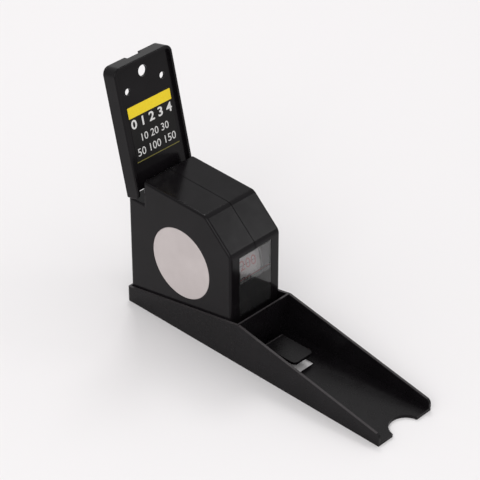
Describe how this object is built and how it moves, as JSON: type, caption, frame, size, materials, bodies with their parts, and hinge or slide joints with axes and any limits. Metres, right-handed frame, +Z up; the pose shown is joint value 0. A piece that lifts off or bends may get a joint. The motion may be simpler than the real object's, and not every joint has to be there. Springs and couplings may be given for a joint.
{
  "type": "wall stadiometer",
  "caption": "Roll-up height gauge: a foot lowered to the head, a case with a sprung tape and a reading window, and a bracket screwed to the wall",
  "frame": {"origin": "middle of the foot's lower rear edge: z = 0 is the flat underside that rests on the head, y = 0 the rear face that runs on the wall", "axes": "+X across the case towards its screwed side, +Y towards the wall, +Z up along the tape; the foot points along -Y"},
  "size_m": [0.0434, 0.2039, 0.1487],
  "materials": {
    "foot_plastic": "fine satin moulded ABS, near black",
    "case_plastic": "fine satin moulded ABS, near black",
    "bracket_plastic": "fine satin moulded ABS, near black",
    "clear_lens": "clear polished polycarbonate",
    "red_print": "red printed line",
    "satin_disc": "satin anodised",
    "guide_plastic": "black acetal",
    "screw_steel": "zinc plated",
    "shaft_steel": "ground steel",
    "washer_nylon": "natural nylon",
    "spring_steel": "blued spring steel",
    "drum_plastic": "dark grey ABS",
    "flange_plastic": "dark grey ABS",
    "bush_brass": "turned",
    "tape_paint": "pale enamel on steel tape with printed scale",
    "hook_steel": "zinc plated",
    "rivet_brass": "plain",
    "label_print": "black printed label with a yellow band"
  },
  "bodies": {
    "case": {"foot_tray": "foot_plastic", "case_left": "case_plastic", "case_right": "case_plastic", "window_lens": "clear_lens", "reading_line": "red_print", "side_disc": "satin_disc", "exit_guide": "guide_plastic", "case_screws": "screw_steel", "foot_screws": "screw_steel", "axle": "shaft_steel", "axle_screw": "screw_steel", "axle_washers": "washer_nylon", "retraction_spring": "spring_steel"},
    "drum": {"drum_core": "drum_plastic", "spring_cover": "drum_plastic", "drum_flange_left": "flange_plastic", "drum_flange_right": "flange_plastic", "drum_bushes": "bush_brass", "drum_screws": "screw_steel", "tape_anchor_pin": "shaft_steel", "tape_roll": "tape_paint"},
    "tape_end": {"tape_strip": "tape_paint", "tape_hook": "hook_steel", "hook_clamp": "hook_steel", "hook_rivets": "rivet_brass"},
    "bracket": {"wall_bracket": "bracket_plastic", "bracket_label": "label_print", "hinge_pin": "shaft_steel"}
  },
  "joints": [
    {"name": "tape_pull", "type": "slide", "parent": "case", "child": "tape_end", "axis": [0, 0, 1], "range_m": [0, 2], "stiffness_N_per_m": 0.75, "springref_m": -2, "deforming": ["tape_strip"]},
    {"name": "bracket_tilt", "type": "hinge", "parent": "tape_end", "child": "bracket", "pos_m": [0, -0.0085, 0.07821], "axis": [1, 0, 0], "range_deg": [0, 12.85]},
    {"name": "drum_spin", "type": "hinge", "parent": "case", "child": "drum", "pos_m": [0, -0.04265, 0.04455], "axis": [1, 0, 0], "range_deg": [0, 3550]}
  ],
  "couplings": [
    {"joint": "drum_spin", "follows": "tape_pull", "rad_per_m": 30.928}
  ]
}
